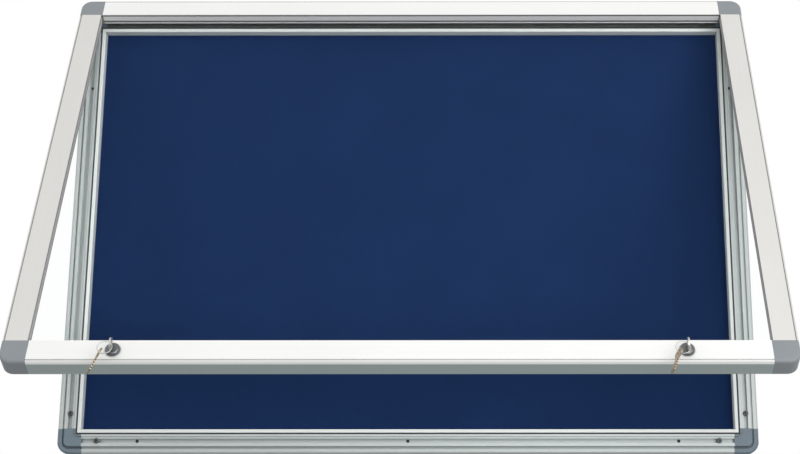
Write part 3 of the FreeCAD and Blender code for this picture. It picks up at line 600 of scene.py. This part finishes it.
def node_group(name, sizes):
    """Geometry tree with named inputs of the given kinds, ready for its nodes."""
    tree = bpy.data.node_groups.new(name, "GeometryNodeTree")
    sides = tree.interface
    sides.new_socket("Geometry", in_out="INPUT", socket_type="NodeSocketGeometry")
    for label, kind in sizes.items():
        sides.new_socket(label, in_out="INPUT", socket_type="NodeSocket" + kind)
    sides.new_socket("Geometry", in_out="OUTPUT", socket_type="NodeSocketGeometry")
    given = tree.nodes.new("NodeGroupInput").outputs
    return tree, given


def close_group(tree, given, geometry):
    """End a tree in real geometry with its material."""
    real = add(tree, "GeometryNodeRealizeInstances", {0: geometry}).outputs[0]
    inputs = {"Geometry": real, "Material": given["Material"]}
    dressed = add(tree, "GeometryNodeSetMaterial", inputs).outputs[0]
    add(tree, "NodeGroupOutput", {0: dressed})


def grow(piece, tree, values):
    """Put a geometry tree on a piece and set its inputs by their sockets."""
    modifier = piece.modifiers.new(tree.name, "NODES")
    modifier.node_group = tree
    for item in tree.interface.items_tree:
        if item.in_out == "INPUT" and item.name in values:
            modifier[item.identifier] = values[item.name]
    settled(piece)


def stood_up(tree, geometry):
    """Geometry turned from the floor's plane to the wall's."""
    inputs = {"Geometry": geometry, "Rotation": (math.pi / 2, 0, 0)}
    return add(tree, "GeometryNodeTransform", inputs).outputs[0]


def loop_group():
    """Strip of one section that follows a rectangle with rounded corners."""
    sizes = {
        "Width": "Float",
        "Height": "Float",
        "Corner": "Float",
        "Section": "Object",
        "Material": "Material",
    }
    tree, given = node_group("Strip round a frame", sizes)
    inputs = {"Width": given["Width"], "Height": given["Height"]}
    path = add(tree, "GeometryNodeCurvePrimitiveQuadrilateral", inputs).outputs[0]
    inputs = {"Curve": path, "Radius": given["Corner"], "Count": CORNER_STEPS}
    soft = add(tree, "GeometryNodeFilletCurve", inputs, mode="POLY")
    section = add(tree, "GeometryNodeObjectInfo", {"Object": given["Section"]})
    profile = add(tree, "GeometryNodeMeshToCurve", {0: section.outputs["Geometry"]}).outputs[0]
    inputs = {"Curve": soft.outputs[0], "Profile Curve": profile}
    swept = add(tree, "GeometryNodeCurveToMesh", inputs).outputs[0]
    outward = add(tree, "GeometryNodeFlipFaces", {"Mesh": swept}).outputs[0]
    close_group(tree, given, stood_up(tree, outward))
    return tree


def strip(name, section, width, height, corner, material):
    """Closed strip round the board, its section drawn outward and towards the front."""

    def outline(shape):
        ring = [shape.verts.new((u, -v, 0)) for u, v in section]
        for here, there in zip(ring, ring[1:] + ring[:1]):
            shape.edges.new((here, there))

    profile = object_of(name + "_section", mesh_of(name + "_section", outline))
    piece = object_of(name, bpy.data.meshes.new(name))
    values = {
        "Width": width,
        "Height": height,
        "Corner": corner,
        "Section": profile,
        "Material": material,
    }
    grow(piece, loop_group(), values)
    bpy.data.objects.remove(profile)
    return piece


class BoardOperator:
    """What all steps share"""

    bl_options = {"REGISTER"}


class BOARD_OT_case_rails(BoardOperator, bpy.types.Operator):
    """Finish the four rails of the wall frame and the strips that hold the board"""

    bl_idname = "board.case_rails"
    bl_label = "Case rails"

    def execute(self, context):
        look = context.scene.board_case
        for along, sides in (("X", LEVELS), ("Z", ENDS)):
            # Strong painted shade in the rails' grooves; the beads get the faint default
            metal = drawn_metal("case_metal_" + along, look.rail_colour, along, hollow_shade_level=0.6)
            put_on(["body_rail_" + side for side in sides], metal)
            # Painted light: the beads get the lighter, lit copy of the metal
            lit_bead_metal = drawn_metal("bead_metal_" + along, look.lit_bead_colour, along, metallic=0.1)
            put_on(["board_bead_" + side for side in sides], lit_bead_metal)
        # The top rail gets painted shade where the door's hook hangs over it
        metal = drawn_metal("case_metal_top", look.rail_colour, "X", hollow_shade_level=0.12, reach=HOOK_REACH)
        put_on(["body_rail_top"], metal)
        return {"FINISHED"}


class BOARD_OT_case_corners(BoardOperator, bpy.types.Operator):
    """Finish the moulded corners of the wall frame"""

    bl_idname = "board.case_corners"
    bl_label = "Case corners"

    def execute(self, context):
        plastic = moulded("case_corner_plastic", context.scene.board_case.corner_colour)
        put_on(corners_of("body"), plastic)
        return {"FINISHED"}


class BOARD_OT_backing(BoardOperator, bpy.types.Operator):
    """Finish the back sheet, the fibre core and the stop rings of the hinge"""

    bl_idname = "board.backing"
    bl_label = "Backing"

    def execute(self, context):
        look = context.scene.board_case
        put_on(["back_sheet"], galvanised("zinc_sheet", look.sheet_colour))
        put_on(["pin_core"], fibre("soft_fibre", look.core_colour))
        put_on(["hinge_stops"], plated("stop_steel", look.stop_colour, gloss=0.34))
        return {"FINISHED"}


def cloth_group():
    """Closed sheet whose front rises and falls a little."""
    sizes = {
        "Width": "Float",
        "Height": "Float",
        "Thickness": "Float",
        "Unevenness": "Float",
        "Squares": "Int",
        "Material": "Material",
    }
    tree, given = node_group("Cloth on the board", sizes)
    share = calc(tree, "DIVIDE", given["Height"], given["Width"])
    rows = calc(tree, "MULTIPLY", given["Squares"], share)
    size = {0: given["Width"], 1: given["Height"], 2: given["Thickness"]}
    inputs = {
        "Size": add(tree, "ShaderNodeCombineXYZ", size).outputs[0],
        "Vertices X": given["Squares"],
        "Vertices Y": rows,
        "Vertices Z": 2,
    }
    block = add(tree, "GeometryNodeMeshCube", inputs).outputs["Mesh"]
    place = add(tree, "GeometryNodeInputPosition").outputs[0]
    height = add(tree, "ShaderNodeSeparateXYZ", {0: place}).outputs[2]
    front = add(tree, "FunctionNodeCompare", {0: height, 1: 0.0}, operation="GREATER_THAN")
    waves = noise(tree, place, scale=26.0)
    fall = calc(tree, "MULTIPLY", calc(tree, "MULTIPLY", waves, given["Unevenness"]), -1.0)
    offset = add(tree, "ShaderNodeCombineXYZ", {2: fall}).outputs[0]
    inputs = {"Geometry": block, "Selection": front.outputs[0], "Offset": offset}
    uneven = add(tree, "GeometryNodeSetPosition", inputs).outputs[0]
    close_group(tree, given, stood_up(tree, uneven))
    return tree


class BOARD_OT_textile(BoardOperator, bpy.types.Operator):
    """Stretch the felt over the pin board"""

    bl_idname = "board.textile"
    bl_label = "Textile"

    def execute(self, context):
        look = context.scene.board_cloth
        low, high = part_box("pin_textile")
        size = high - low
        cloth = object_of("board_cloth", bpy.data.meshes.new("board_cloth"))
        blue = felt("pin_felt", look.textile_colour, look.fibre_length, look.fibre_width)
        values = {
            "Width": size.x,
            "Height": size.z,
            "Thickness": size.y,
            "Unevenness": look.unevenness,
            "Squares": look.squares,
            "Material": blue,
        }
        grow(cloth, cloth_group(), values)
        cloth.data.transform(Matrix.Translation((low + high) / 2))
        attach(cloth, "wall_frame")
        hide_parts("pin_textile")
        return {"FINISHED"}


class BOARD_OT_seal(BoardOperator, bpy.types.Operator):
    """Run the rubber bulb round the groove of the wall frame"""

    bl_idname = "board.seal"
    bl_label = "Seal"

    def execute(self, context):
        look = context.scene.board_case
        low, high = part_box("body_seal")
        half = look.seal_width / 2
        deep = high.y - low.y
        section = [(-half, -deep), (half, -deep)]
        for step in range(ARC_STEPS + 1):
            angle = math.pi * step / ARC_STEPS
            section.append((half * math.cos(angle), half * math.sin(angle) - half))
        width = high.x - low.x - look.seal_width
        height = high.z - low.z - look.seal_width
        black = rubber("seal_rubber", look.seal_colour)
        seal = strip("frame_seal", section, width, height, look.seal_corner, black)
        seal.data.transform(Matrix.Translation(Vector((0, low.y, 0))))
        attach(seal, "wall_frame")
        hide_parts("body_seal")
        return {"FINISHED"}


def turned_part(shape, rings, steps):
    """Closed round body along Y from rings of (radius, place along Y)."""
    rows = []
    for radius, y in rings:
        row = []
        for i in range(steps):
            turn = math.tau * i / steps
            row.append(shape.verts.new((radius * math.cos(turn), y, radius * math.sin(turn))))
        rows.append(row)
    for low, high in zip(rows, rows[1:]):
        for i in range(steps):
            j = (i + 1) % steps
            shape.faces.new((low[i], low[j], high[j], high[i]))
    shape.faces.new(rows[0])
    shape.faces.new(rows[-1])
    bmesh.ops.recalc_face_normals(shape, faces=shape.faces)


def pan_head(shape, radius, height, length):
    """Shank and domed head of a screw, the head towards -Y."""
    shank = SHANK_SHARE * radius
    rings = [(shank, length), (shank, 0.0), (radius, 0.0), (radius, -RIM_SHARE * height)]
    for share in DOME_SHARES:
        angle = share * math.pi / 2
        risen = RIM_SHARE + (1 - RIM_SHARE) * math.sin(angle)
        rings.append((radius * math.cos(angle * DOME_CLOSING), -height * risen))
    turned_part(shape, rings, SCREW_STEPS)


def cross_wedge(shape, reach, height):
    """Tapered cross that cuts the recess of a head."""
    wide = ARM_WIDTH * reach
    mouth = (-height - CUTTER_ROOM, reach, wide)
    foot = (-RECESS_FOOT * height, FOOT_REACH * reach, FOOT_WIDTH * wide)
    for turn in (0, math.pi / 2):
        turned = Matrix.Rotation(turn, 3, "Y")
        rows = []
        for y, long, half in (mouth, foot):
            level = [(-long, y, -half), (long, y, -half), (long, y, half), (-long, y, half)]
            rows.append([shape.verts.new(turned @ Vector(point)) for point in level])
        for i in range(4):
            j = (i + 1) % 4
            shape.faces.new((rows[0][i], rows[0][j], rows[1][j], rows[1][i]))
        shape.faces.new(rows[0])
        shape.faces.new(rows[1])
    bmesh.ops.recalc_face_normals(shape, faces=shape.faces)


def scatter_group():
    """One small piece on every point, each turned its own way."""
    sizes = {
        "Piece": "Object",
        "Seed": "Int",
        "Material": "Material",
    }
    tree, given = node_group("Pieces on points", sizes)
    piece = add(tree, "GeometryNodeObjectInfo", {"Object": given["Piece"]}).outputs["Geometry"]
    inputs = {"Seed": given["Seed"], RANDOM_MOST: math.pi / 2}
    angle = add(tree, "FunctionNodeRandomValue", inputs, data_type="FLOAT")
    turn = add(tree, "ShaderNodeCombineXYZ", {1: angle.outputs[RANDOM_RESULT]}).outputs[0]
    inputs = {"Points": given["Geometry"], "Instance": piece, "Rotation": turn}
    placed = add(tree, "GeometryNodeInstanceOnPoints", inputs).outputs[0]
    close_group(tree, given, placed)
    return tree


class BOARD_OT_screws(BoardOperator, bpy.types.Operator):
    """Drive the eight screws that hold the rails to the corners"""

    bl_idname = "board.screws"
    bl_label = "Screws"

    def execute(self, context):
        look = context.scene.board_screws
        names = ["body_screws_" + side for side in SIDES]
        low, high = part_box("body_screws_bottom")
        length = high.y - low.y - look.head_height
        seat = low.y + look.head_height
        radius, height = look.head_radius, look.head_height
        body = mesh_of("screw", lambda shape: pan_head(shape, radius, height, length))
        head = object_of("screw", body)
        cross = mesh_of("wedge", lambda shape: cross_wedge(shape, look.recess, height))
        wedge = object_of("wedge", cross)
        cut = head.modifiers.new("recess", "BOOLEAN")
        cut.operation = "DIFFERENCE"
        cut.object = wedge
        cut.solver = "EXACT"
        cut.use_self = True
        settled(head)
        bpy.data.objects.remove(wedge)

        # Rounding makes one place of two where a rail's screws lie in one line
        def places(shape):
            for name in names:
                first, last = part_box(name)
                for x in {round(first.x + radius, 5), round(last.x - radius, 5)}:
                    for z in {round(first.z + radius, 5), round(last.z - radius, 5)}:
                        shape.verts.new((x, seat, z))

        screws = object_of("frame_screws", mesh_of("frame_screws", places))
        # Faint painted shade in the screws' recesses
        zinc = plated("screw_zinc", look.head_colour, gloss=0.3, hollow_shade_level=0.08)
        grow(screws, scatter_group(), {"Piece": head, "Seed": look.turn_seed, "Material": zinc})
        bpy.data.objects.remove(head)
        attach(screws, "wall_frame")
        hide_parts(*names)
        return {"FINISHED"}


def plug_head(shape, radius, length):
    """Soft plug with a hollow front face, pushed into a fixing hole from the front."""
    rings = [(share * radius, depth * length) for share, depth in PLUG_RINGS]
    turned_part(shape, rings, PLUG_STEPS)


class BOARD_OT_hole_plugs(BoardOperator, bpy.types.Operator):
    """Close the fixing holes of the wall frame with soft plugs"""

    bl_idname = "board.hole_plugs"
    bl_label = "Hole plugs"

    def execute(self, context):
        look = context.scene.board_screws
        seat = look.plug_sunk - look.plug_level
        radius, length = look.plug_radius, look.plug_length
        plug = object_of("plug", mesh_of("plug", lambda shape: plug_head(shape, radius, length)))

        def places(shape):
            for mount in frame["record"]["mounts"]:
                if mount["kind"] != "bolt_pattern":
                    continue
                dims = mount["dims"]
                x = dims.get("spacing_x_mm", 0.0) / 1000 / 2
                z = dims["spacing_y_mm"] / 1000 / 2
                for place in sorted({(sx * x, seat, sz * z) for sx in (-1, 1) for sz in (-1, 1)}):
                    shape.verts.new(place)

        plugs = object_of("hole_plugs", mesh_of("hole_plugs", places))
        black = rubber("plug_rubber", look.plug_colour)
        grow(plugs, scatter_group(), {"Piece": plug, "Seed": look.turn_seed, "Material": black})
        bpy.data.objects.remove(plug)
        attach(plugs, "wall_frame")
        return {"FINISHED"}


class BOARD_OT_door_rails(BoardOperator, bpy.types.Operator):
    """Finish the four rails of the door"""

    bl_idname = "board.door_rails"
    bl_label = "Door rails"

    def execute(self, context):
        look = context.scene.board_door
        left, right = shut_box("door_rail_left")[0], shut_box("door_rail_right")[1]
        low, high = shut_box("door_rail_bottom")[0], shut_box("door_rail_top")[1]
        across = ("X", left.x, right.x, left.y)
        upright = ("Z", low.z, high.z, low.y)
        # Painted light: the sides get the darker copy of the metal, the bottom and top lighter
        # ones, and each gets painted shade on its outer side
        dials = {"turn": -DOOR_TURN, "metallic": 0.15, "side": across}
        metal = drawn_metal("door_metal_side", look.shaded_side_colour, "Z", **dials)
        put_on(pair_of("door_rail"), metal)
        metal = drawn_metal("door_metal_low", look.lit_low_colour, "X", metallic=0.3, side=upright)
        put_on(["door_rail_bottom"], metal)
        metal = drawn_metal("door_metal_top", look.lit_top_colour, "X", metallic=0.1, side=upright)
        put_on(["door_rail_top"], metal)
        return {"FINISHED"}


class BOARD_OT_door_corners(BoardOperator, bpy.types.Operator):
    """Finish the moulded corners of the door"""

    bl_idname = "board.door_corners"
    bl_label = "Door corners"

    def execute(self, context):
        plastic = moulded("door_corner_plastic", context.scene.board_door.corner_colour)
        put_on(corners_of("door"), plastic)
        return {"FINISHED"}


class BOARD_OT_pane(BoardOperator, bpy.types.Operator):
    """Finish the clear pane"""

    bl_idname = "board.pane"
    bl_label = "Pane"

    def execute(self, context):
        put_on(["door_pane"], clear_sheet("clear_pane", context.scene.board_door.pane_tint))
        return {"FINISHED"}


def channel_section(lip, reach, rear, deep):
    """Channel section from its outer front corner: a long front lip and a shorter rear one."""
    soft = lip / 2
    return [
        (0, 0),
        (soft - reach, 0),
        (-reach, -soft),
        (soft - reach, -lip),
        (-lip, -lip),
        (-lip, lip - deep),
        (soft - rear, lip - deep),
        (-rear, soft - deep),
        (soft - rear, -deep),
        (0, -deep),
    ]


class BOARD_OT_channel(BoardOperator, bpy.types.Operator):
    """Run the soft channel round the edge of the pane"""

    bl_idname = "board.channel"
    bl_label = "Pane channel"

    def execute(self, context):
        look = context.scene.board_door
        low, high = shut_box("pane_gasket")
        rail_high = shut_box("door_rail_left")[1]
        reach = rail_high.x - low.x + look.channel_show
        rear = reach - look.channel_show - LIP_STEP
        section = channel_section(look.channel_lip, reach, rear, high.y - low.y)
        grey = rubber("channel_rubber", look.channel_colour)
        size = high - low
        channel = strip("pane_channel", section, size.x, size.z, reach, grey)
        channel.data.transform(OPENED @ Matrix.Translation(Vector((0, low.y, 0))))
        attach(channel, "door")
        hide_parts("pane_gasket")
        return {"FINISHED"}


class BOARD_OT_locks(BoardOperator, bpy.types.Operator):
    """Finish the locks, their nuts and their locking bars"""

    bl_idname = "board.locks"
    bl_label = "Locks"

    def execute(self, context):
        look = context.scene.board_locks
        put_on(pair_of("lock_housing"), plated("lock_plating", look.head_colour))
        put_on(pair_of("lock_plug"), plated("plug_plating", look.head_colour, gloss=0.3))
        dull = plated("nut_plating", look.nut_colour, gloss=0.36)
        put_on(pair_of("lock_nut") + pair_of("locking_bar"), dull)
        return {"FINISHED"}


class BOARD_OT_keys(BoardOperator, bpy.types.Operator):
    """Finish the keys and their rings"""

    bl_idname = "board.keys"
    bl_label = "Keys"

    def execute(self, context):
        look = context.scene.board_locks
        put_on(pair_of("lock_key"), plated("key_nickel", look.key_colour, gloss=0.24))
        put_on(pair_of("spare_key"), plated("key_brass", look.spare_colour, gloss=0.28))
        wire = plated("ring_steel", look.ring_colour, metallic=0.6, gloss=0.42)
        put_on(pair_of("key_ring"), wire)
        return {"FINISHED"}


def lamp(name, power, width, height, place, target):
    """Soft lamp that faces its target and isn't seen itself."""
    light = bpy.data.lights.new(name, "AREA")
    light.shape = "RECTANGLE"
    light.size = width
    light.size_y = height
    light.energy = power
    holder = object_of(name, light)
    holder.location = place
    holder.rotation_euler = (Vector(target) - Vector(place)).to_track_quat("-Z", "Y").to_euler()
    holder.visible_camera = False
    return holder


def seen_share(tree):
    """One for what is seen by the eye, in metal or through the pane, and zero for plain light."""
    path = add(tree, "ShaderNodeLightPath").outputs
    seen = calc(tree, "MAXIMUM", path["Is Camera Ray"], path["Is Glossy Ray"])
    return calc(tree, "MAXIMUM", seen, path["Is Transmission Ray"])


def room(level):
    """World that is white to the eye, in metal and through the pane, and lights plainly."""
    world = bpy.data.worlds.new("room")
    world.use_nodes = True
    tree = world.node_tree
    tree.nodes.clear()
    strength = between(tree, seen_share(tree), level, 1.0)
    white = add(tree, "ShaderNodeBackground", {"Color": (1, 1, 1, 1), "Strength": strength})
    add(tree, "ShaderNodeOutputWorld", {"Surface": white.outputs[0]})
    bpy.context.scene.world = world


def pale_floor(level):
    """Plain pale floor that sends little light back up."""

    def square(shape):
        bmesh.ops.create_grid(shape, x_segments=1, y_segments=1, size=FLOOR_HALF)
        bmesh.ops.translate(shape, verts=shape.verts, vec=(0, 0, level))

    floor = object_of("floor", mesh_of("floor", square))
    pale, tree, shader, place = finish_of("pale_floor")
    mottle = noise(tree, place, scale=3.0, detail=3.0)
    base_colour = shades(tree, mottle, FLOOR_GREY, dark=0.98, light=1.02)
    dimmed = between(tree, seen_share(tree), FLOOR_BOUNCE, 1.0)
    link(tree, darker(tree, base_colour, dimmed), shader, "Base Color")
    shader.inputs["Roughness"].default_value = 0.8
    floor.data.materials.append(pale)
    return floor


def keep_off(light, piece):
    """Stop a lamp from lighting one piece."""
    unlit = bpy.data.collections.new("unlit_by_" + light.name)
    unlit.objects.link(piece)
    light.light_linking.receiver_collection = unlit
    unlit.collection_objects[0].light_linking.link_state = "EXCLUDE"


def set_camera(lens):
    """Camera where the photographer's stood."""
    camera = bpy.data.cameras.new("camera")
    camera.sensor_width = SENSOR_WIDTH
    camera.lens = lens
    camera.shift_x = EYE_SHIFT
    eye = object_of("camera", camera)
    eye.location = EYE_AT
    eye.rotation_euler = EYE_TURN
    bpy.context.scene.camera = eye


class BOARD_OT_stage(BoardOperator, bpy.types.Operator):
    """Set the pale floor, the soft light and the camera"""

    bl_idname = "board.stage"
    bl_label = "Stage"

    def execute(self, context):
        look = context.scene.board_stage
        context.scene.view_settings.view_transform = "Standard"
        room(look.room_light)
        floor = pale_floor(look.floor_level)
        lamp("key_lamp", look.key_power, *KEY_LAMP)
        lamp("fill_lamp", look.fill_power, *FILL_LAMP)
        keep_off(lamp("low_lamp", look.low_power, *LOW_LAMP), floor)
        set_camera(look.lens)
        return {"FINISHED"}


STEPS = (
    BOARD_OT_case_rails,
    BOARD_OT_case_corners,
    BOARD_OT_backing,
    BOARD_OT_textile,
    BOARD_OT_seal,
    BOARD_OT_screws,
    BOARD_OT_hole_plugs,
    BOARD_OT_door_rails,
    BOARD_OT_door_corners,
    BOARD_OT_pane,
    BOARD_OT_channel,
    BOARD_OT_locks,
    BOARD_OT_keys,
    BOARD_OT_stage,
)


class BOARD_PT_panel(bpy.types.Panel):
    """Settings and steps of the notice board"""

    bl_label = "Notice board"
    bl_idname = "BOARD_PT_panel"
    bl_space_type = "VIEW_3D"
    bl_region_type = "UI"
    bl_category = "Notice board"

    def draw(self, context):
        for group, kind in GROUPS.items():
            box = self.layout.box()
            for name in kind.__annotations__:
                box.prop(getattr(context.scene, group), name)
        for step in STEPS:
            self.layout.operator(step.bl_idname)


def register():
    """Make the settings, the operators and the panel known."""
    for kind in (*GROUPS.values(), *STEPS, BOARD_PT_panel):
        bpy.utils.register_class(kind)
    for group, kind in GROUPS.items():
        setattr(bpy.types.Scene, group, PointerProperty(type=kind))


def unregister():
    """Take them away again."""
    for group in GROUPS:
        delattr(bpy.types.Scene, group)
    for kind in reversed((*GROUPS.values(), *STEPS, BOARD_PT_panel)):
        bpy.utils.unregister_class(kind)


def main():
    """Build the scene step by step."""
    register()
    for step in STEPS:
        group, name = step.bl_idname.split(".")
        getattr(getattr(bpy.ops, group), name)()


if __name__ == "__main__":
    main()
